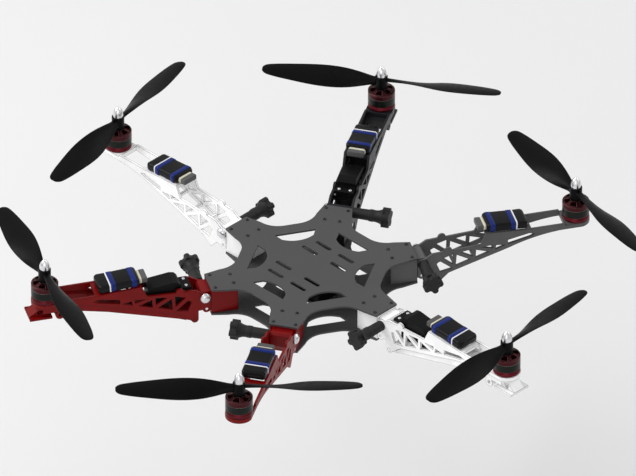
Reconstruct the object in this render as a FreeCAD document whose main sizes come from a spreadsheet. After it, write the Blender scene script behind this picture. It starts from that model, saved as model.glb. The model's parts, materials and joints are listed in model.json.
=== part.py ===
"""Folding hexacopter drone: two hub plates, six folding arms, three swinging legs.

Units are millimetres. Z is up, the origin is the centre of the bottom plate's lower face,
and the front is -Y. Each arm is modelled along +X, so X is the distance out from the hub,
Y is across the arm, and the arm's Placement then turns it about Z to its own direction.
"""
import FreeCAD, Part
import Sketcher
import math
import os

V = FreeCAD.Vector
doc = FreeCAD.newDocument("hexacopter")

# ---------------------------------------------------------------- driving dimensions
SIZES = {
    "motor_radius": 285,          # hub centre to motor axis: a 570 mm wheelbase
    "arm_step": 60,               # degrees from one arm to the next
    "plate_thick": 2,
    "deck_height": 30,            # lower face of the top plate
    "lobe_end": 110.7,            # outer edge of a plate lobe and of its lug
    "lobe_half": 15,
    "waist_radius": 77.5,         # plate outline half way between two arms
    "screw_radius": 1.2,
    "screw_hole": 1.25,
    "strap_length": 22,
    "strap_width": 5,
    "lug_start": 82,
    "tongue_foot": 4.2,           # round ends about the hinge pin, on the lug and on the arm
    "arm_ear": 4.25,
    "arm_width": 28,
    "channel_width": 23,          # between the arm's two side walls
    "tongue_width": 22.4,
    "tie_width": 25,
    "window_scale": 1.18,         # the drawn windows are opened out by this, about their middles
    "pin_out": 115.5,             # hinge pin, distance out and height
    "pin_up": 8.3,
    "pin_radius": 1.5,
    "pin_hole": 1.55,
    "bolt_out": 117,              # lock bolt, distance out and height
    "bolt_up": 22.6,
    "bolt_radius": 2,
    "bolt_hole": 2.05,
    "bolt_head": 5.75,
    "slot_half": 2.4,             # half width of the arc slot that the lock bolt leaves by
    "leg_out": 128,               # leg pivot, distance out and height
    "leg_up": -3,
    "leg_boss": 3.8,
    "trunnion_radius": 2,
    "trunnion_hole": 2.06,
    "trunnion_length": 27.8,
    "foot_width": 24.8,
    "leg_gap_start": 236,         # the opening down through the leg, between its two rails
    "leg_gap_end": 262,
    "leg_gap_width": 17,
    "gusset_width": 15,
    "gusset_hole": 2.6,
    "roller_radius": 5,           # round boss under the leg, inside of the foot
    "roller_hole": 1.9,
    "pad_top": 43.5,              # face that the motor stands on
    "tip_radius": 14.5,
    "can_radius": 14.25,
    "shaft_radius": 2.5,
    "shaft_bore": 2.56,
    "blade_radius": 127,          # a 10-inch propeller
    "blade_pitch": 130,
    "blade_height": 74.6,
    "prop_hub_radius": 6.6,
    "spinner_shank": 4.9,         # the part of the nut inside the propeller's cup
    "spinner_radius": 5.4,
    "spinner_seat": 81.1,
    "spinner_tip": 92.4,
    "esc_out": 186,
    "esc_up": 48.66,
    "esc_slope": 3.56,            # degrees, the slope of the rails under the speed controller
    "esc_width": 26,
    "plug_width": 18,
    "servo_width": 20,
    "knob_start": 14.3,           # bolt head's seat and knob's end, from the arm's middle plane
    "knob_end": 54,
    "star_start": 46,
    "knob_radius": 11,
    "controller_length": 50,
    "controller_width": 28,
    "controller_height": 12,
}
sheet = doc.addObject("Spreadsheet::Sheet", "Sizes")
for row, (name, value) in enumerate(SIZES.items(), start=1):
    sheet.set("A%d" % row, name)
    sheet.set("B%d" % row, str(value))
    sheet.setAlias("B%d" % row, name)
doc.recompute()


def size(name):
    return float(getattr(sheet, name))


ARM_COUNT = 6
LEG_ARMS = (2, 4, 6)
PROP_ANGLES = {1: 103.2, 2: 34.4, 3: -13.4, 4: 95.1, 5: 46.4, 6: -23.6}
PIN = (size("pin_out"), size("pin_up"))
BOLT = (size("bolt_out"), size("bolt_up"))
LEG = (size("leg_out"), size("leg_up"))
Z_AXIS = V(0, 0, 1)
nodes = {}


# ---------------------------------------------------------------- helpers
def arm_angle(number):
    return 180 - size("arm_step") * (number - 1)


def arm_placement(number, out=0.0, up=0.0, tilt=FreeCAD.Rotation()):
    turn = FreeCAD.Rotation(Z_AXIS, arm_angle(number))
    return FreeCAD.Placement(turn.multVec(V(out, 0, up)), turn.multiply(tilt))


def polar(centre, radius, degrees):
    angle = math.radians(degrees)
    return (centre[0] + radius * math.cos(angle), centre[1] + radius * math.sin(angle))


def new_body(name):
    body = doc.addObject("PartDesign::Body", name)
    body.Label = name
    nodes[name] = body
    return body


def new_sketch(body, role, height=0.0, turn=0.0):
    plane = [item for item in body.Origin.OriginFeatures if item.Role == role][0]
    sketch = body.newObject("Sketcher::SketchObject", body.Name + "_sketch")
    sketch.AttachmentSupport = [(plane, "")]
    sketch.MapMode = "FlatFace"
    sketch.AttachmentOffset = FreeCAD.Placement(V(0, 0, height), FreeCAD.Rotation(Z_AXIS, turn))
    return sketch


def outline(sketch, points):
    """Draw a closed outline. A plain pair is a corner; a pair of pairs is an arc's middle and end."""
    last = points[0]
    for step in points[1:] + [points[0]]:
        if isinstance(step[0], tuple):
            middle, end = step
            sketch.addGeometry(Part.ArcOfCircle(V(*last, 0), V(*middle, 0), V(*end, 0)), False)
        else:
            end = step
            if math.dist(last, end) > 1e-6:
                sketch.addGeometry(Part.LineSegment(V(*last, 0), V(*end, 0)), False)
        last = end


def circle(sketch, centre, radius_name):
    """Draw a circle whose radius is bound to a cell of the sheet."""
    index = sketch.addGeometry(Part.Circle(V(*centre, 0), Z_AXIS, size(radius_name)), False)
    rule = sketch.addConstraint(Sketcher.Constraint("Radius", index, size(radius_name)))
    sketch.setExpression("Constraints[%d]" % rule, "Sizes." + radius_name)


def enlarged(points, scale):
    middle = [sum(values) / len(points) for values in zip(*points)]
    return [tuple(m + (value - m) * scale for m, value in zip(middle, point)) for point in points]


def box_points(x_low, y_low, x_high, y_high):
    return [(x_low, y_low), (x_high, y_low), (x_high, y_high), (x_low, y_high)]


def pad(body, sketch, length, symmetric=False):
    feature = body.newObject("PartDesign::Pad", body.Name + "_pad")
    feature.Profile = sketch
    feature.setExpression("Length", length)
    if symmetric:
        feature.SideType = "Symmetric"


def side_pad(body, points, width_name):
    """Pad an outline drawn in the X-Z plane, the same distance to both sides."""
    sketch = new_sketch(body, "XZ_Plane")
    outline(sketch, points)
    pad(body, sketch, "Sizes." + width_name, symmetric=True)


def pocket_through(body, sketch):
    """Cut an outline right through, to both sides, and give the feature back for a pattern."""
    feature = body.newObject("PartDesign::Pocket", body.Name + "_pocket")
    feature.Profile = sketch
    feature.Type = "ThroughAll"
    feature.SideType = "Symmetric"
    return feature


def cross_hole(body, centre, radius_name):
    sketch = new_sketch(body, "XZ_Plane")
    circle(sketch, centre, radius_name)
    pocket_through(body, sketch)


def revolve(body, points):
    """Turn a half outline, drawn as (radius, height), about the body's own Z."""
    sketch = new_sketch(body, "XZ_Plane")
    outline(sketch, points)
    feature = body.newObject("PartDesign::Revolution", body.Name + "_turned")
    feature.Profile = sketch
    feature.ReferenceAxis = (sketch, ["V_Axis"])
    feature.Angle = 360


def polar_pattern(body, original, count):
    axis = [item for item in body.Origin.OriginFeatures if item.Role == "Z_Axis"][0]
    doc.recompute()
    pattern = body.newObject("PartDesign::PolarPattern", body.Name + "_pattern")
    pattern.Originals = [original]
    pattern.Axis = (axis, [""])
    pattern.Angle = 360
    pattern.Occurrences = count
    body.Tip = pattern


def compound(name, members):
    group = doc.addObject("Part::Compound", name)
    group.Label = name
    group.Links = members
    nodes[name] = group


# ---------------------------------------------------------------- hub
SCREW_PLACES = [(105.6, -11.8), (105.6, 11.8), (85, -8), (85, 8)]
STRAP_PLACES = [(x * side, y * end) for x, y in ((20.7, 19.2), (16.4, 35))
                for side in (-1, 1) for end in (-1, 1)]


def plate_outline():
    """Six lobes, each widening through a rounded shoulder into the shallow hollow beside it."""
    flank, bend, shoulder = (93, 19), (79, 23.3), (71.4, 31.4)
    end, half = size("lobe_end"), size("lobe_half")
    points = []
    for index in range(ARM_COUNT):
        turn = index * size("arm_step")

        def turned(point):
            return polar((0, 0), math.hypot(*point), math.degrees(math.atan2(point[1], point[0])) + turn)

        hollow = polar((0, 0), size("waist_radius"), turn - size("arm_step") / 2)
        near = turned((shoulder[0], -shoulder[1]))
        points.append((hollow, near) if points else near)
        points += [(turned((bend[0], -bend[1])), turned((flank[0], -flank[1]))), turned((end, -half)),
                   turned((end, half)), turned(flank), (turned(bend), turned(shoulder))]
    first_hollow = polar((0, 0), size("waist_radius"), -size("arm_step") / 2)
    points.append((first_hollow, points[0]))
    return points


def make_plate(name, height):
    body = new_body(name)
    sketch = new_sketch(body, "XY_Plane")
    outline(sketch, plate_outline())
    pad(body, sketch, "Sizes.plate_thick")
    straps = new_sketch(body, "XY_Plane")
    for x, y in STRAP_PLACES:
        half_long, half_wide = size("strap_length") / 2, size("strap_width") / 2
        flat = half_long - half_wide
        outline(straps, [(x - flat, y - half_wide), (x + flat, y - half_wide),
                         ((x + half_long, y), (x + flat, y + half_wide)), (x - flat, y + half_wide),
                         ((x - half_long, y), (x - flat, y - half_wide))])
    pocket_through(body, straps)
    holes = new_sketch(body, "XY_Plane")
    for place in SCREW_PLACES:
        circle(holes, place, "screw_hole")
    polar_pattern(body, pocket_through(body, holes), ARM_COUNT)
    window = new_sketch(body, "XY_Plane", turn=size("arm_step") / 2)
    outline(window, [(63, -22), (63, 22), (53.5, 17), ((48, 0), (53.5, -17))])
    polar_pattern(body, pocket_through(body, window), ARM_COUNT)
    body.Placement = FreeCAD.Placement(V(0, 0, height), FreeCAD.Rotation())


def make_lug(number):
    """The block that the two plates clamp, with the tongue that carries the pin and the bolt."""
    body = new_body("hub_lug_%d" % number)
    end, deck = size("lobe_end"), size("deck_height")
    side_pad(body, box_points(size("lug_start"), size("plate_thick"), end, deck), "arm_width")
    foot = size("tongue_foot")
    side_pad(body, [(end - 2, PIN[1] - foot), (PIN[0], PIN[1] - foot),
                    (polar(PIN, foot, -40), (PIN[0] + foot, PIN[1])), (122, 13), (122, 26),
                    (120, 28), (end - 2, 28)], "tongue_width")
    cross_hole(body, PIN, "pin_hole")
    cross_hole(body, BOLT, "bolt_hole")
    holes = new_sketch(body, "XY_Plane")
    for place in SCREW_PLACES:
        circle(holes, place, "screw_hole")
    pocket_through(body, holes)
    body.Placement = arm_placement(number)


def make_hinge_pins():
    pins = []
    for number in range(1, ARM_COUNT + 1):
        pin = doc.addObject("Part::Cylinder", "hinge_pin_%d" % number)
        pin.setExpression("Radius", "Sizes.pin_radius")
        pin.setExpression("Height", "Sizes.arm_width")
        across = FreeCAD.Placement(V(0, size("arm_width") / 2, 0), FreeCAD.Rotation(V(1, 0, 0), 90))
        pin.Placement = arm_placement(number, *PIN).multiply(across)
        pins.append(pin)
    compound("hinge_pins", pins)


def make_lock_bolts():
    """A domed bolt through each tongue: its head on one side, its thread in the knob."""
    bolts = []
    radius, head, seat = size("bolt_radius"), size("bolt_head"), size("knob_start")
    for number in range(1, ARM_COUNT + 1):
        bolt = doc.addObject("PartDesign::Body", "lock_bolt_%d" % number)
        revolve(bolt, [(0, -30), (radius, -30), (radius, seat), (head, seat), (head, seat + 1.3),
                       ((4.2, 17.6), (0.6, 18.6)), (0, 18.6)])
        tilt = FreeCAD.Rotation(V(1, 0, 0), -90)
        bolt.Placement = arm_placement(number, *BOLT, tilt=tilt)
        bolts.append(bolt)
    compound("lock_bolts", bolts)


def make_plate_screws():
    """Long socket screws that clamp both plates on the lugs, with low heads on the top plate."""
    screws = []
    top, head_height, socket_floor = size("deck_height") + size("plate_thick"), 0.9, -0.2
    for number in range(1, ARM_COUNT + 1):
        for out, across in SCREW_PLACES:
            place = arm_placement(number).multVec(V(out, across, 0))
            shank = doc.addObject("Part::Cylinder", "screw_shank")
            shank.setExpression("Radius", "Sizes.screw_radius")
            shank.setExpression("Height", "Sizes.deck_height + Sizes.plate_thick")
            shank.Placement.Base = place
            head = doc.addObject("Part::Cone", "screw_head")
            head.setExpression("Radius1", "Sizes.screw_radius * 1.6")
            head.setExpression("Radius2", "Sizes.screw_radius * 1.3")
            head.Height = head_height
            head.Placement.Base = place + V(0, 0, top)
            blank = doc.addObject("Part::Fuse", "screw_blank")
            blank.Base = shank
            blank.Tool = head
            socket = doc.addObject("Part::Prism", "screw_socket")
            socket.Polygon = 6
            socket.setExpression("Circumradius", "Sizes.screw_radius * 0.7")
            socket.Height = 2 * head_height
            socket.Placement.Base = place + V(0, 0, top + socket_floor)
            screw = doc.addObject("Part::Cut", "screw")
            screw.Base = blank
            screw.Tool = socket
            screws.append(screw)
    compound("plate_screws", screws)


def make_flight_controller():
    body = new_body("flight_controller")
    sketch = new_sketch(body, "XY_Plane")
    half_long, half_wide = size("controller_length") / 2, size("controller_width") / 2
    outline(sketch, box_points(-half_long, -half_wide, half_long, half_wide))
    pad(body, sketch, "Sizes.controller_height")
    body.Placement = FreeCAD.Placement(V(0, 0, size("plate_thick")), FreeCAD.Rotation())


# ---------------------------------------------------------------- arms
RIB_WINDOWS = [
    [(132.3, 19.6), (135.9, 10.2), (146.7, 12.2), (135.6, 21.4)],
    [(138.8, 26.3), (148.3, 17.8), (148.7, 29.3)],
    [(152.8, 14.9), (166, 19.3), (153.7, 26.5)],
    [(158.6, 29.9), (169.3, 23.8), (169.7, 31.4)],
    [(174.2, 21.2), (186.6, 25.3), (174.6, 29.4)],
    [(181.2, 32.1), (191.5, 29.3), (192, 33.1)],
    [(195.2, 27.5), (204.7, 30.8), (196.1, 31.9)],
    [(210.5, 32.3), (231, 36.8), (235, 38.9), (230, 40.4), (210.5, 36.6)],
]
# Cross ties between the two walls: inner end, bottom, outer end, top.
TIES = [(149.2, 15, 151.8, 17.7), (171.3, 17, 173.9, 20.2), (193, 23.5, 195.6, 26.5),
        (184.8, 44, 188.5, 48.2), (228.5, 42, 234, 45.4)]


def arm_outline(with_leg):
    """The arm seen from its side, from the root's top corner outward and back underneath."""
    inner = size("lobe_end") + 0.5
    ear = size("arm_ear")
    tip = size("motor_radius") + size("tip_radius")
    step = size("motor_radius") - size("tip_radius") - 0.5
    top = [(inner, 26), (119, 28), (127, 33), (139.6, 33.6), ((144, 38), (148.4, 33.9)),
           (178.9, 35.4), (185, 48.7), (231.7, 45.8), (step, 45.6), (step, size("pad_top"))]
    under = [(tip, size("pad_top")), (tip, 38.8), (266, 38.8), ((237, 35), (210, 27)),
             (174.2, 15.9), (144.6, 6.7)]
    if with_leg:
        root = [polar(LEG, size("leg_boss"), -20),
                (polar(LEG, size("leg_boss"), -90), polar(LEG, size("leg_boss"), 180))]
    else:
        corner = (134, 1)
        root = [polar(corner, 3, -45), (polar(corner, 3, -100), polar(corner, 3, -150))]
    notch = [(LEG[0] - size("leg_boss"), 7.4), polar(PIN, ear, -12), (polar(PIN, ear, -90), (inner, PIN[1]))]
    return top + under + root + notch


def make_arm(number):
    body = new_body("arm_%d" % number)
    with_leg = number in LEG_ARMS
    side_pad(body, arm_outline(with_leg), "arm_width")

    channel = new_sketch(body, "XZ_Plane")
    wall_end = size("motor_radius") - size("tip_radius") - 0.5
    outline(channel, box_points(size("lobe_end") - 5, -20, wall_end, 60))
    cut = body.newObject("PartDesign::Pocket", "channel")
    cut.Profile = channel
    cut.setExpression("Length", "Sizes.channel_width")
    cut.SideType = "Symmetric"

    ties = new_sketch(body, "XZ_Plane")
    for tie in TIES:
        outline(ties, box_points(*tie))
    pad(body, ties, "Sizes.tie_width", symmetric=True)

    windows = new_sketch(body, "XZ_Plane")
    for points in RIB_WINDOWS:
        outline(windows, enlarged(points, size("window_scale")))
    pocket_through(body, windows)

    slot = new_sketch(body, "XZ_Plane")
    reach = math.dist(PIN, BOLT)
    start = math.degrees(math.atan2(BOLT[1] - PIN[1], BOLT[0] - PIN[0]))
    wide, narrow = reach + size("slot_half"), reach - size("slot_half")
    round_end = polar(PIN, reach, start - math.degrees(size("slot_half") / reach))
    outline(slot, [polar(PIN, narrow, start), (round_end, polar(PIN, wide, start)),
                   (polar(PIN, wide, start + 25), polar(PIN, wide, start + 50)),
                   polar(PIN, narrow, start + 50),
                   (polar(PIN, narrow, start + 25), polar(PIN, narrow, start))])
    pocket_through(body, slot)

    cross_hole(body, PIN, "pin_hole")
    if with_leg:
        cross_hole(body, LEG, "trunnion_hole")

    tip = new_sketch(body, "XY_Plane")
    out, radius = size("motor_radius"), size("tip_radius")
    outline(tip, [(out, -radius), (out, -30), (out + 30, -30), (out + 30, 30), (out, 30), (out, radius),
                  ((out + radius, 0), (out, -radius))])
    pocket_through(body, tip)
    body.Placement = arm_placement(number)


def make_servo(number):
    body = new_body("servo_%d" % number)
    side_pad(body, [(142, 18), (170.5, 18), (170.5, 21.5), (176.5, 21.5), (176.5, 40.2), (172, 42),
                    (150, 45), (145, 44), (142, 41), (142, 36.7), (131, 36.7), (131, 33.5),
                    (142, 33.5)], "servo_width")
    body.Placement = arm_placement(number)


def make_leg(number):
    """A swinging leg. It lies just under the arm when it is up, and its foot is under the motor."""
    body = new_body("leg_%d" % number)
    boss = new_sketch(body, "XZ_Plane")
    circle(boss, LEG, "leg_boss")
    pad(body, boss, "Sizes.tongue_width", symmetric=True)
    side = size("leg_boss") - 0.01
    side_pad(body, [polar(LEG, side, -90), (150, 2.02), (150, 8.2), polar(LEG, side, 80)], "tongue_width")
    side_pad(body, [(137, -3.19), (144.7, -0.1), (221, 22.7), (262, 32.2), (290, 32.4), (290, 38.35),
                    (266.1, 38.35), ((237.2, 34.55), (210.1, 26.55)), (174.35, 15.45), (144.9, 6.3),
                    (137, -0.3)], "foot_width")
    gap = new_sketch(body, "XY_Plane")
    half_gap = size("leg_gap_width") / 2
    outline(gap, box_points(size("leg_gap_start"), -half_gap, size("leg_gap_end"), half_gap))
    pocket_through(body, gap)
    roller_place = (271.7, 28.2)
    roller = new_sketch(body, "XZ_Plane")
    circle(roller, roller_place, "roller_radius")
    pad(body, roller, "Sizes.foot_width", symmetric=True)
    cross_hole(body, roller_place, "roller_hole")
    side_pad(body, box_points(280, 25.2, 304, 27.5), "foot_width")
    side_pad(body, [(281, 27.2), (304, 27.2), (290, 38.3), (281, 34)], "gusset_width")
    cross_hole(body, (292.5, 31.2), "gusset_hole")
    trunnion = new_sketch(body, "XZ_Plane")
    circle(trunnion, LEG, "trunnion_radius")
    pad(body, trunnion, "Sizes.trunnion_length", symmetric=True)
    body.Placement = arm_placement(number)


def make_esc(number):
    """The speed controller on top of the arm, with its plug at the inner end."""
    body = new_body("esc_%d" % number)
    side_pad(body, [(0, 0), (44, 0), (44, 7), (41.5, 9.5), (2.5, 9.5), (0, 7)], "esc_width")
    side_pad(body, [(-9, 0.6), (1, 0.6), (1, 6.6), (-8, 6.6), (-9, 5.6)], "plug_width")
    tilt = FreeCAD.Rotation(V(0, 1, 0), size("esc_slope"))
    body.Placement = arm_placement(number, size("esc_out"), size("esc_up"), tilt)


# ---------------------------------------------------------------- motor and propeller
def motor_placement(number, angle=0.0):
    return arm_placement(number, size("motor_radius"), 0, FreeCAD.Rotation(Z_AXIS, angle))


def make_motor_base(number):
    """Screwed to the arm's tip: the flange, and the stator drum that the can turns around."""
    body = new_body("motor_base_%d" % number)
    low, bore, rim = size("pad_top") + 0.02, size("shaft_bore"), size("can_radius")
    revolve(body, [(bore, low), (rim - 0.6, low), (rim, low + 0.6), (rim, 46), (rim - 1.6, 49),
                   (11.6, 49), (11.6, 57.6), (bore, 57.6)])
    body.Placement = motor_placement(number)


def make_motor_can(number):
    """The turning can with its vented bell and its shaft."""
    body = new_body("motor_can_%d" % number)
    rim, shaft = size("can_radius"), size("shaft_radius")
    revolve(body, [(0, 44.5), (shaft, 44.5), (shaft, 58.4), (12.4, 58.4), (12.4, 49.5), (rim, 49.5),
                   (rim, 57.9), (rim - 0.35, 58), (rim, 58.1), (rim, 63.2), (rim - 0.5, 63.7),
                   (7, 66), (shaft, 66), (shaft, 78), (0, 78)])
    vent = new_sketch(body, "XY_Plane", height=70)
    inner, outer = 6.2, 12.2
    spread = 19
    outline(vent, [polar((0, 0), inner, -spread), ((inner, 0), polar((0, 0), inner, spread)),
                   polar((0, 0), outer, spread), ((outer, 0), polar((0, 0), outer, -spread))])
    cut = body.newObject("PartDesign::Pocket", "vent")
    cut.Profile = vent
    cut.Length = 12
    polar_pattern(body, cut, ARM_COUNT)
    body.Placement = motor_placement(number)


# Blade sections: share of the blade's radius, chord, thickness.
BLADE_SECTIONS = [(0.045, 9.5, 4.4), (0.12, 12.5, 3.6), (0.28, 22, 2.6), (0.5, 28, 2.1),
                  (0.75, 23.5, 1.6), (0.93, 16.5, 1.2), (0.985, 10.5, 0.9), (1.0, 5, 0.6)]


def make_propeller(number):
    """Two twisted blades on a cupped hub. The leading edges are on the clockwise side, seen from above."""
    body = new_body("propeller_%d" % number)
    sections = []
    for share, chord, thick in BLADE_SECTIONS:
        out = share * size("blade_radius")
        pitch = min(34.0, math.degrees(math.atan2(size("blade_pitch"), 2 * math.pi * out)))
        sketch = new_sketch(body, "YZ_Plane", height=out)
        lift = FreeCAD.Placement(V(0, size("blade_height"), out), FreeCAD.Rotation(Z_AXIS, -pitch))
        sketch.AttachmentOffset = lift
        lead, trail = (-chord * 0.46, 0), (chord * 0.54, 0)
        edge = thick * 0.12
        outline(sketch, [(lead[0], -edge), ((chord * 0.02, -thick * 0.2), (trail[0], -edge)),
                         (trail[0], edge), ((-chord * 0.08, thick * 0.8), (lead[0], edge))])
        sections.append(sketch)
    blade = body.newObject("PartDesign::AdditiveLoft", body.Name + "_blade")
    blade.Profile = sections[0]
    blade.Sections = sections[1:]
    blade.Ruled = False
    polar_pattern(body, blade, 2)
    hub, bore = size("prop_hub_radius"), size("shaft_radius") + 0.03
    revolve(body, [(bore, 66.05), (hub - 0.6, 66.05), (hub, 66.7), (hub, 80.4), (hub - 0.5, 81),
                   (5.5, 81), (5.5, 77.95), (bore, 77.95)])
    body.Placement = motor_placement(number, PROP_ANGLES[number] - arm_angle(number))


def make_spinner(number):
    """The pointed nut that holds the propeller on its shaft."""
    body = new_body("spinner_%d" % number)
    low, shank, rim = 78.02, size("spinner_shank"), size("spinner_radius")
    seat, tip = size("spinner_seat"), size("spinner_tip")
    revolve(body, [(0, low), (shank, low), (shank, seat), (rim, seat), (rim, seat + 1.1),
                   ((4.6, 87.7), (0.6, tip)), (0, tip)])
    body.Placement = motor_placement(number)


# ---------------------------------------------------------------- lock knobs
def make_lock_knob(number):
    """A long sleeve with a five-lobed head, threaded on the lock bolt."""
    body = new_body("lock_knob_%d" % number)
    start, star, bore = size("knob_start"), size("star_start"), size("bolt_hole")
    revolve(body, [(bore, start), (5.6, start), (5.9, 31.5), (6.5, 32), (6.5, 36), (6.2, 36.5),
                   (6.2, 38), ((7.4, 43.4), (9.6, star + 1)), (0, star + 1), (0, 31), (bore, 31)])
    head = new_sketch(body, "XY_Plane", height=star)
    lobes, valley = 5, 7.6
    points = []
    for lobe in range(lobes):
        middle = lobe * 360 / lobes
        rise = polar((0, 0), 9.6, middle - 19)
        fall = polar((0, 0), 9.6, middle + 19)
        hollow = polar((0, 0), valley, middle - 180 / lobes)
        points.append((hollow, rise) if points else rise)
        points.append((polar((0, 0), size("knob_radius"), middle), fall))
    points.append((polar((0, 0), valley, -180 / lobes), points[0]))
    outline(head, points)
    pad(body, head, "Sizes.knob_end - Sizes.star_start")
    body.Placement = arm_placement(number, *BOLT, tilt=FreeCAD.Rotation(V(1, 0, 0), 90))


# ---------------------------------------------------------------- build
make_plate("bottom_plate", 0)
make_plate("top_plate", size("deck_height"))
make_hinge_pins()
make_lock_bolts()
make_plate_screws()
make_flight_controller()
for arm in range(1, ARM_COUNT + 1):
    make_lug(arm)
    make_arm(arm)
    make_esc(arm)
    make_motor_base(arm)
    make_motor_can(arm)
    make_propeller(arm)
    make_spinner(arm)
    make_lock_knob(arm)
    if arm in LEG_ARMS:
        make_servo(arm)
        make_leg(arm)
doc.recompute()

# ---------------------------------------------------------------- check and write
for item in doc.Objects:
    if "Invalid" in item.State or "Error" in item.State:
        raise RuntimeError("%s did not rebuild: %s" % (item.Label, item.State))
for name, item in nodes.items():
    if item.Shape.isNull() or not item.Shape.isValid():
        raise RuntimeError("%s has no valid shape" % name)
os.makedirs("parts", exist_ok=True)
for name, item in nodes.items():
    item.Shape.exportStep(os.path.join("parts", name + ".step"))
print("%d nodes written" % len(nodes))
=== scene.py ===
"""Looks of the folding hexacopter: materials for every CAD node, and the sleeves, bands
and servo fittings that the CAD model leaves plain. Metres, in the CAD's own frame."""
import json
import math

import bmesh
import bpy
from mathutils import Matrix, Vector


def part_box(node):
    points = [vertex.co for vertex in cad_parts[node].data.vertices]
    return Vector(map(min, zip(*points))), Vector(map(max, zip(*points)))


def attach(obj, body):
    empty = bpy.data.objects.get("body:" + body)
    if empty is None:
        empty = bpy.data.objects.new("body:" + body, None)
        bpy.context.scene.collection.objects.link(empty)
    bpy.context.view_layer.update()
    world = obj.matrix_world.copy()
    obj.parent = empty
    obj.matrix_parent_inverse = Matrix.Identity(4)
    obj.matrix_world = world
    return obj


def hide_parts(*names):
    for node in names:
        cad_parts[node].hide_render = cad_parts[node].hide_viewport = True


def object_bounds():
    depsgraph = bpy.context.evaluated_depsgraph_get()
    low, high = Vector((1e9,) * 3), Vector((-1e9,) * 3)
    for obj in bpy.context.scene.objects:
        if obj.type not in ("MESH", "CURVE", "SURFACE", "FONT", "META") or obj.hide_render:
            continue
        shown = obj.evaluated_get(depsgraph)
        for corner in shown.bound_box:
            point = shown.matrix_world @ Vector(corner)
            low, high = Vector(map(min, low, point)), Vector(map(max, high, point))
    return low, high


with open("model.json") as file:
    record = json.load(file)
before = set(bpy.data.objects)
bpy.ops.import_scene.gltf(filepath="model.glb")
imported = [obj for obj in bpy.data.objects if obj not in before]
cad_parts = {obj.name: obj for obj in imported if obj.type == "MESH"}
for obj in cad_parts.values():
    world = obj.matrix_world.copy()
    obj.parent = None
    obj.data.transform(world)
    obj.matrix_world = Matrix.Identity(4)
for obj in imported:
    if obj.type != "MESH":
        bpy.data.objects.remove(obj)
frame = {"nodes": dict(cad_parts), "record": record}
cad_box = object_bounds()
record = frame["record"]
MM = 0.001
SLOT_OF = {part["node"]: part["material_slot"] for part in record["subparts"]}
JOINTS = {joint["name"]: joint for joint in record["behaviour"]["joints"]}
ARMS = range(1, 7)
LEG_ARMS = (2, 4, 6)


def arm_matrix(number):
    """Turns a shape drawn along +X, above the hub's centre, to an arm's own direction."""
    x, y, _ = JOINTS["rotor_spin_%d" % number]["pos_m"]
    return Matrix.Rotation(math.atan2(y, x), 4, "Z")


# ---------------------------------------------------------------- camera, floor and light
LENS = 1200
SENSOR = 36
VIEW_WIDTH = 0.6604              # metres across the picture at the target
VIEW_FROM = Vector((1, -1, 1))   # 35.264 degrees down, from between +X and -Y
VIEW_TARGET = Vector((-0.0174, 0.0277, 0.045))
SKY_STRENGTH = 0.68
# name, place, watts, width
LAMPS = (
    ("key", (-2.2, -1.6, 2.6), 98, 2.4),
    ("fill", (1.8, -2.4, 1.5), 20, 2.6),
    ("rim", (0.8, 2.6, 2.0), 22, 2.4),
)
FLOOR_HALF = 40.0
FLOOR_DROP = 0.3


def make_camera():
    """A very long lens, because the view is nearly parallel."""
    data = bpy.data.cameras.new("camera")
    data.lens, data.sensor_width = LENS, SENSOR
    data.clip_start, data.clip_end = 1, 100
    camera = bpy.data.objects.new("camera", data)
    bpy.context.collection.objects.link(camera)
    back = VIEW_FROM.normalized()
    camera.location = VIEW_TARGET + back * (VIEW_WIDTH * LENS / SENSOR)
    camera.rotation_euler = (-back).to_track_quat("-Z", "Y").to_euler()
    bpy.context.scene.camera = camera


def make_light():
    scene = bpy.context.scene
    scene.view_settings.view_transform = "Standard"
    world = bpy.data.worlds.new("studio")
    scene.world = world
    world.use_nodes = True
    sky = world.node_tree.nodes["Background"]
    sky.inputs["Color"].default_value = (1, 1, 1, 1)
    sky.inputs["Strength"].default_value = SKY_STRENGTH
    for name, place, watts, width in LAMPS:
        data = bpy.data.lights.new(name, "AREA")
        data.energy, data.size = watts, width
        lamp = bpy.data.objects.new(name, data)
        lamp.location = place
        lamp.rotation_euler = (-Vector(place)).to_track_quat("-Z", "Y").to_euler()
        bpy.context.collection.objects.link(lamp)


def make_floor():
    """A wide floor below the reach of the folded arms and their propellers, as if the drone hovers."""
    low = cad_box[0].z - FLOOR_DROP
    mesh = bpy.data.meshes.new("floor")
    corners = [(x * FLOOR_HALF, y * FLOOR_HALF, low) for x, y in ((-1, -1), (1, -1), (1, 1), (-1, 1))]
    mesh.from_pydata(corners, [], [(0, 1, 2, 3)])
    floor = bpy.data.objects.new("floor", mesh)
    bpy.context.collection.objects.link(floor)
    floor.data.materials.append(plain_material("floor_paper", (0.7, 0.7, 0.7), 0.95))


# ---------------------------------------------------------------- materials
EDGE_START = 0.998               # how far the rounded normal agrees with the face where an edge starts
# Texture scales: features per metre of surface, roughly.
GRIT_SCALE, FLOW_SCALE, SCUFF_SCALE = 2600, 35, 260
WEAVE_SCALE, CLOUD_SCALE = 210.0, 22
RING_SCALE, SMUDGE_SCALE = 900.0, 180
CREASE_SCALE, SHEEN_SCALE = 320, 60
MOTTLE_SCALE = 6
WEAVE_DEPTH, RING_DEPTH, CREASE_DEPTH = 0.00004, 0.000012, 0.00012
BARE_METAL = (0.6, 0.58, 0.58, 1)


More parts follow.
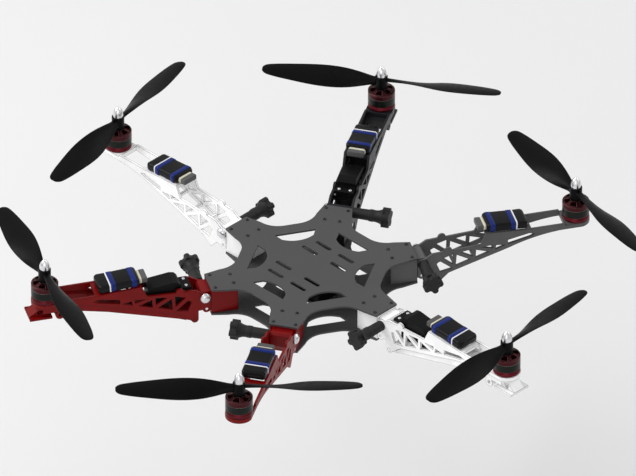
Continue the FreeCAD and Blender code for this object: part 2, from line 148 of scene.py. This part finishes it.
class Nodes:
    """A short way to add and join shader nodes."""

    def __init__(self, name):
        self.material = bpy.data.materials.new(name)
        self.material.use_nodes = True
        self.tree = self.material.node_tree
        self.shader = self.tree.nodes["Principled BSDF"]

    def add(self, kind, settings=None, **inputs):
        node = self.tree.nodes.new(kind)
        for key, value in (settings or {}).items():
            setattr(node, key, value)
        for key, value in inputs.items():
            self.feed(node.inputs[key.replace("_", " ")], value)
        return node

    def feed(self, socket, value):
        if isinstance(value, bpy.types.NodeSocket):
            self.tree.links.new(value, socket)
        else:
            socket.default_value = value

    def finish(self, **inputs):
        """Feed the shader. A plain number or colour is set on the socket itself."""
        for key, value in inputs.items():
            self.feed(self.shader.inputs[key.replace("_", " ")], value)
        return self.material

    def place(self):
        return self.add("ShaderNodeTexCoord").outputs["Object"]

    def noise(self, scale, detail=3.0):
        node = self.add("ShaderNodeTexNoise", Vector=self.place(), Scale=scale, Detail=detail)
        return node.outputs[0]

    def wave(self, direction, scale, distortion, where):
        node = self.add("ShaderNodeTexWave", {"bands_direction": direction},
                        Vector=where, Scale=scale, Distortion=distortion)
        return node.outputs[1]

    def math(self, operation, first, second=0.5):
        node = self.add("ShaderNodeMath", {"operation": operation})
        self.feed(node.inputs[0], first)
        self.feed(node.inputs[1], second)
        return node.outputs[0]

    def spread(self, value, low, high, to_low=0.0, to_high=1.0):
        """Stretch the range from low to high over the range from to_low to to_high."""
        node = self.add("ShaderNodeMapRange", Value=value, From_Min=low, From_Max=high,
                        To_Min=to_low, To_Max=to_high)
        return node.outputs["Result"]

    def mix(self, amount, first, second):
        node = self.add("ShaderNodeMix", {"data_type": "RGBA"})
        self.feed(node.inputs["Factor"], amount)
        self.feed(node.inputs["A"], first)
        self.feed(node.inputs["B"], second)
        return node.outputs["Result"]

    def edges(self, radius, full=0.8):
        """A rounded normal for the edges, and a mask that is 1 on them. A higher full is a wider mask."""
        bevel = self.add("ShaderNodeBevel", {"samples": 6}, Radius=radius)
        geometry = self.add("ShaderNodeNewGeometry")
        dot = self.add("ShaderNodeVectorMath", {"operation": "DOT_PRODUCT"})
        self.feed(dot.inputs[0], bevel.outputs["Normal"])
        self.feed(dot.inputs[1], geometry.outputs["Normal"])
        return bevel.outputs["Normal"], self.spread(dot.outputs["Value"], EDGE_START, full)

    def bump(self, height, distance, normal=None):
        node = self.add("ShaderNodeBump", Height=height, Strength=1.0, Distance=distance)
        if normal is not None:
            self.feed(node.inputs["Normal"], normal)
        return node.outputs["Normal"]


def rgba(colour, factor=1.0):
    return (colour[0] * factor, colour[1] * factor, colour[2] * factor, 1)


def plain_material(name, colour, roughness):
    """A matt surface with a faint mottle."""
    nodes = Nodes(name)
    tone = nodes.mix(nodes.noise(MOTTLE_SCALE), rgba(colour, 0.99), rgba(colour, 1.01))
    return nodes.finish(Base_Color=tone, Roughness=roughness)


def moulded(name, colour, roughness=0.42, wear_and_edge_shade=0.35, grain=0.00003, gloss=0.5, rim=None):
    """Glass-filled nylon: speckled grain and a faint flow mottle. Its softened edges are rubbed lighter,
    or, given a rim colour, darkened with it as painted shade along the edges and in the creases."""
    nodes = Nodes(name)
    normal, edge = nodes.edges(0.0006) if rim is None else nodes.edges(0.0008, 0.94)
    grit = nodes.noise(GRIT_SCALE, 2)
    flow = nodes.noise(FLOW_SCALE, 4)
    scuff = nodes.noise(SCUFF_SCALE, 5)
    base = nodes.mix(nodes.spread(flow, 0.35, 0.65), rgba(colour, 0.9), rgba(colour, 1.06))
    patches = nodes.spread(scuff, 0.4, 0.6) if rim is None else nodes.spread(scuff, 0.3, 0.6, 0.85)
    worn_and_shaded_edges = nodes.math("MULTIPLY", nodes.math("MULTIPLY", edge, patches), wear_and_edge_shade)
    # A rim colour is painted shade: the edge mask lays it along the edges and into the creases. Without one,
    # the edges are rubbed lighter.
    edge_colour = rim or tuple(channel * 0.7 + 0.12 for channel in colour)
    return nodes.finish(
        Base_Color=nodes.mix(worn_and_shaded_edges, base, rgba(edge_colour)),
        Roughness=nodes.spread(scuff, 0.3, 0.7, roughness - 0.07, roughness + 0.09),
        Normal=nodes.bump(grit, grain, normal),
        Specular_IOR_Level=gloss,
    )


def woven_plate(name, colour):
    """Glass-fibre laminate, cut from sheet: a fine square weave under a satin resin skin."""
    nodes = Nodes(name)
    normal, edge = nodes.edges(0.0003)
    where = nodes.place()
    threads = [nodes.wave(direction, WEAVE_SCALE, 0.6, where) for direction in ("X", "Y")]
    weave = nodes.math("MULTIPLY", *threads)
    cloud = nodes.noise(CLOUD_SCALE, 4)
    tone = nodes.mix(weave, rgba(colour, 0.82), rgba(colour, 1.18))
    tone = nodes.mix(nodes.spread(cloud, 0.3, 0.7, 0.0, 0.25), tone, rgba(colour, 1.35))
    return nodes.finish(
        Base_Color=nodes.mix(nodes.math("MULTIPLY", edge, 0.5), tone, rgba(colour, 2.2)),
        Roughness=nodes.spread(cloud, 0.3, 0.7, 0.4, 0.55),
        Normal=nodes.bump(weave, WEAVE_DEPTH, normal),
        Specular_IOR_Level=0.25,
    )


def turned_metal(name, colour, roughness, upper=None, split=0.0, dull=0.0):
    """Lathe-turned, anodised metal: fine rings. Above the height split it has the upper colour."""
    nodes = Nodes(name)
    normal, edge = nodes.edges(0.0004)
    where = nodes.place()
    rings = nodes.wave("Z", RING_SCALE, 1.0, where)
    smudge = nodes.noise(SMUDGE_SCALE, 4)
    base = nodes.mix(nodes.spread(smudge, 0.35, 0.65), rgba(colour, 0.88), rgba(colour, 1.1))
    if upper is not None:
        height = nodes.add("ShaderNodeSeparateXYZ", Vector=where).outputs["Z"]
        base = nodes.mix(nodes.math("GREATER_THAN", height, split), base, rgba(upper))
    return nodes.finish(
        Base_Color=nodes.mix(nodes.math("MULTIPLY", edge, 0.3), base, BARE_METAL),
        Metallic=1.0 - dull,
        Roughness=nodes.spread(smudge, 0.3, 0.7, roughness - 0.05, roughness + 0.08),
        Normal=nodes.bump(rings, RING_DEPTH, normal),
    )


def shrink_film(name, colour, roughness=0.3):
    """Heat-shrink film: glossy, with soft creases pulled round the block."""
    nodes = Nodes(name)
    creases = nodes.noise(CREASE_SCALE)
    sheen = nodes.noise(SHEEN_SCALE)
    return nodes.finish(
        Base_Color=nodes.mix(sheen, rgba(colour, 0.85), rgba(colour, 1.2)),
        Roughness=nodes.spread(sheen, 0.3, 0.7, roughness - 0.06, roughness + 0.1),
        Normal=nodes.bump(creases, CREASE_DEPTH),
        Specular_IOR_Level=0.16,
    )


DARK_RED = (0.045, 0.0015, 0.004)
COPPER = (0.35, 0.13, 0.05)
# Painted shade: dark colours laid along the edges and into the creases of the arms and the plugs.
EDGE_SHADE_DARK = (0.02, 0.02, 0.022)
RED_EDGE_SHADE_DARK = (0.012, 0, 0)
FLANGE_TOP = 0.0492              # the motor's red flange ends here, and the copper windings start
CAN_SHOULDER = 0.058             # the motor can is dark red above this height
SLOT_MATERIALS = {
    "plate": woven_plate("plate_laminate", (0.06, 0.06, 0.062)),
    "steel": turned_metal("bright_steel", (0.72, 0.72, 0.74), 0.24),
    "black_plastic": moulded("servo_case_plastic", (0.003, 0.003, 0.0035), 0.42, 0.1, gloss=0.1),
    "black_steel": turned_metal("black_oxide_steel", (0.03, 0.03, 0.032), 0.4),
    # The white, grey and red arms carry painted shade on their edges and in their creases.
    "arm_white": moulded("arm_white_nylon", (0.93, 0.93, 0.93), 0.44, 0.9, rim=EDGE_SHADE_DARK),
    # Painted shade: the grey and dark grey arms are the white arm nylon coloured as it looks in half shade
    # and in deep shade.
    "arm_dark_grey": moulded("arm_dark_grey_nylon", (0.016, 0.0165, 0.019), 0.4, 0.25, gloss=0.2),
    "arm_grey": moulded("arm_grey_nylon", (0.085, 0.085, 0.087), 0.42, 0.85, gloss=0.25, rim=EDGE_SHADE_DARK),
    "arm_red": moulded("arm_red_nylon", (0.17, 0.0006, 0.0008), 0.36, 0.7, gloss=0.16, rim=RED_EDGE_SHADE_DARK),
    "esc_sleeve": shrink_film("esc_black_film", (0.0025, 0.0025, 0.003)),
    "motor_red": turned_metal("motor_red_anodised", (0.1, 0.002, 0.008), 0.34, COPPER, FLANGE_TOP, 0.25),
    "motor_black": turned_metal("motor_can_steel", (0.006, 0.008, 0.006), 0.36, DARK_RED, CAN_SHOULDER, 0.3),
    "prop_black": moulded("propeller_nylon", (0.0012, 0.0012, 0.0014), 0.36, 0.03, 0.000006, gloss=0.08),
    "spinner_silver": turned_metal("spinner_aluminium", (0.78, 0.78, 0.8), 0.22),
    "knob_black": moulded("knob_rubber", (0.011, 0.011, 0.012), 0.55, 0.15, 0.00006, gloss=0.25),
}
BLUE = shrink_film("band_blue_film", (0.004, 0.015, 0.13), 0.26)
CREAM = shrink_film("collar_cream_film", (0.55, 0.53, 0.42), 0.4)
SILVER_LINE = shrink_film("end_line_film", (0.7, 0.7, 0.72), 0.3)
# The plug carries painted shade on its edges and in its creases.
PLUG_GREY = moulded("plug_grey_plastic", (0.075, 0.075, 0.075), 0.42, 0.8, gloss=0.25, rim=EDGE_SHADE_DARK)


def dress_cad_nodes():
    for node, piece in frame["nodes"].items():
        for slot in piece.material_slots:
            slot.material = SLOT_MATERIALS[SLOT_OF[node]]


# ---------------------------------------------------------------- mesh helpers
def finish_piece(name, mesh, material, body, smooth=True):
    if smooth:
        mesh.shade_smooth()
    piece = bpy.data.objects.new(name, mesh)
    bpy.context.collection.objects.link(piece)
    mesh.materials.append(material)
    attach(piece, body)
    return piece


def mesh_of(model, name):
    """The bmesh model as a mesh. The model is used up."""
    mesh = bpy.data.meshes.new(name)
    model.to_mesh(mesh)
    model.free()
    return mesh


def rounded_section(width, height, radius, steps=5):
    """Points round a rectangle with round corners, centred on its own middle."""
    points = []
    for corner, (side, end) in enumerate(((1, 1), (-1, 1), (-1, -1), (1, -1))):
        for step in range(steps + 1):
            angle = math.radians(90 * corner + 90 * step / steps)
            points.append((side * (width / 2 - radius) + radius * math.cos(angle),
                           end * (height / 2 - radius) + radius * math.sin(angle)))
    return points


def loft(name, sections, middle, matrix):
    """A closed skin through sections, all at one middle height. Each is (distance along X, outline)."""
    model = bmesh.new()
    rings = []
    for along, points in sections:
        rings.append([model.verts.new(matrix @ (Vector((along, y, middle + z)) * MM)) for y, z in points])
    for first, second in zip(rings, rings[1:]):
        for index in range(len(first)):
            after = (index + 1) % len(first)
            model.faces.new((first[index], first[after], second[after], second[index]))
    model.faces.new(rings[0])
    model.faces.new(rings[-1])
    bmesh.ops.recalc_face_normals(model, faces=model.faces)
    return mesh_of(model, name)


def soften(piece, width, angle=35):
    """Round the hard edges of a piece, and keep its flat faces flat."""
    bevel = piece.modifiers.new("round_edges", "BEVEL")
    bevel.width = width
    bevel.segments = 3
    bevel.limit_method = "ANGLE"
    bevel.angle_limit = math.radians(angle)
    piece.modifiers.new("flat_faces", "WEIGHTED_NORMAL")


# ---------------------------------------------------------------- speed controllers
# Millimetres. Distances along run outwards from the sleeve's inner end.
ESC_LENGTH, ESC_WIDTH, ESC_HEIGHT = 44.0, 26.0, 9.5
ESC_SLOPE = math.radians(3.56)
ESC_CHAMFER = 2.5                # cut off the upper corners of the CAD block that the sleeve replaces
ESC_MIDDLE = ESC_HEIGHT / 2
# distance from the end, width, height, corner radius
SLEEVE_ENDS = ((0, 21.5, 5.6, 2.2), (0.7, 24, 7.6, 2.4), (2.4, 25.6, 9.0, 2.4))
SLEEVE_MARGIN = 3.6
SLEEVE_STEPS = 26
SLEEVE_SLACK = 0.2               # keeps the rippled film inside the block
SLEEVE_CORNER = 2.3
PLUG_MIDDLE = 3.6
PLUG_CORNER = 1.2
# distance along, width, height
PLUG = ((-9, 16.6, 4.8), (-8.4, 17.8, 5.8), (-3.2, 17.8, 5.8), (-3.1, 17.2, 5.2), (0.6, 17.2, 5.2))
# name, start, end, width, height, middle height, material
BANDS = (
    ("esc_collar", -2.9, 0.3, 18.2, 6.2, PLUG_MIDDLE, CREAM),
    ("esc_band_inner", 3.2, 8.6, 26.1, 9.6, ESC_MIDDLE, BLUE),
    ("esc_band_outer", 25.6, 30.8, 26.1, 9.6, ESC_MIDDLE, BLUE),
    ("esc_line", 31.0, 32.5, 26.2, 9.7, ESC_MIDDLE, SILVER_LINE),
)
BAND_LIP = 0.15                  # a band reaches its full size this far from its end
BAND_THIN = 0.5                  # and is this much smaller at the end itself


def esc_matrix(number):
    """Where the sleeve's lower inner edge is, and its slope, read from the CAD block of arm 4."""
    low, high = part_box("esc_4")
    reach = ESC_LENGTH * math.cos(ESC_SLOPE) + (ESC_HEIGHT - ESC_CHAMFER) * math.sin(ESC_SLOPE)
    rise = ESC_LENGTH * math.sin(ESC_SLOPE)
    corner = Matrix.Translation((high.x - reach * MM, 0, low.z + rise * MM))
    return arm_matrix(number) @ corner @ Matrix.Rotation(ESC_SLOPE, 4, "Y")


def sleeve_sections(number):
    """Film drawn in a little at mid-length, with ripples that differ from arm to arm."""
    ends = [(along, rounded_section(width, height, radius)) for along, width, height, radius in SLEEVE_ENDS]
    sections = list(ends)
    for step in range(SLEEVE_STEPS + 1):
        along = SLEEVE_MARGIN + (ESC_LENGTH - 2 * SLEEVE_MARGIN) * step / SLEEVE_STEPS
        ripple = 0.09 * math.sin(along * 2.1 + number) + 0.06 * math.sin(along * 4.7 + 2 * number)
        waist = 0.35 * math.sin(math.pi * step / SLEEVE_STEPS)
        width = ESC_WIDTH - SLEEVE_SLACK - waist + ripple
        height = ESC_HEIGHT - SLEEVE_SLACK - waist * 0.6 + ripple
        sections.append((along, rounded_section(width, height, SLEEVE_CORNER)))
    sections += [(ESC_LENGTH - along, outline) for along, outline in reversed(ends)]
    return sections


def make_esc(number):
    matrix = esc_matrix(number)
    body = "arm_%d" % number
    sleeve = finish_piece("esc_sleeve_%d" % number,
                          loft("esc_sleeve", sleeve_sections(number), ESC_MIDDLE, matrix),
                          SLOT_MATERIALS["esc_sleeve"], body)
    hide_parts("esc_%d" % number)
    plug = [(along, rounded_section(width, height, PLUG_CORNER)) for along, width, height in PLUG]
    block = finish_piece("esc_plug_%d" % number, loft("esc_plug", plug, PLUG_MIDDLE, matrix),
                         PLUG_GREY, body, smooth=False)
    soften(block, 0.0003)
    for name, start, end, width, height, middle, material in BANDS:
        thin = rounded_section(width - BAND_THIN, height - BAND_THIN, 2.2)
        full = rounded_section(width, height, 2.3)
        rings = [(start, thin), (start + BAND_LIP, full), (end - BAND_LIP, full), (end, thin)]
        finish_piece("%s_%d" % (name, number), loft(name, rings, middle, matrix),
                     material, body)


# ---------------------------------------------------------------- small fittings
# Millimetres, along the arm from the hub's centre and up from the bottom plate.
SERVO_INNER = 141.93
SERVO_SEAMS = (22.5, 38.5)
SEAM_WIDTH, SEAM_HEIGHT, SEAM_CORNER = 20.12, 0.5, 0.2
SEAM_PROUD = 0.07
TAB_SCREW_OUT, TAB_SCREW_ACROSS, TAB_SCREW_UP = 135.5, 6, 37.1
TAB_SCREW_FOOT, TAB_SCREW_TOP, TAB_SCREW_HEIGHT = 1.9, 1.5, 0.8


def make_servo_fittings(number):
    """The servo's case seams, and the two screws that hold its tab."""
    body, matrix = "arm_%d" % number, arm_matrix(number)
    outline = rounded_section(SEAM_WIDTH, SEAM_HEIGHT, SEAM_CORNER)
    rings = [(SERVO_INNER, outline), (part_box("servo_4")[1].x / MM + SEAM_PROUD, outline)]
    for index, height in enumerate(SERVO_SEAMS):
        seam = loft("servo_seam", rings, 0, matrix @ Matrix.Translation((0, 0, height * MM)))
        finish_piece("servo_seam_%d_%d" % (number, index), seam,
                     SLOT_MATERIALS["prop_black"], body)
    model = bmesh.new()
    for side in (-1, 1):
        place = Vector((TAB_SCREW_OUT, side * TAB_SCREW_ACROSS, TAB_SCREW_UP)) * MM
        bmesh.ops.create_cone(model, cap_ends=True, segments=28, radius1=TAB_SCREW_FOOT * MM,
                              radius2=TAB_SCREW_TOP * MM, depth=TAB_SCREW_HEIGHT * MM,
                              matrix=matrix @ Matrix.Translation(place))
    screws = finish_piece("servo_screws_%d" % number, mesh_of(model, "servo_screws"),
                          SLOT_MATERIALS["steel"], body, smooth=False)
    soften(screws, 0.0002)


make_camera()
make_light()
make_floor()
dress_cad_nodes()
for arm in ARMS:
    make_esc(arm)
for arm in LEG_ARMS:
    make_servo_fittings(arm)
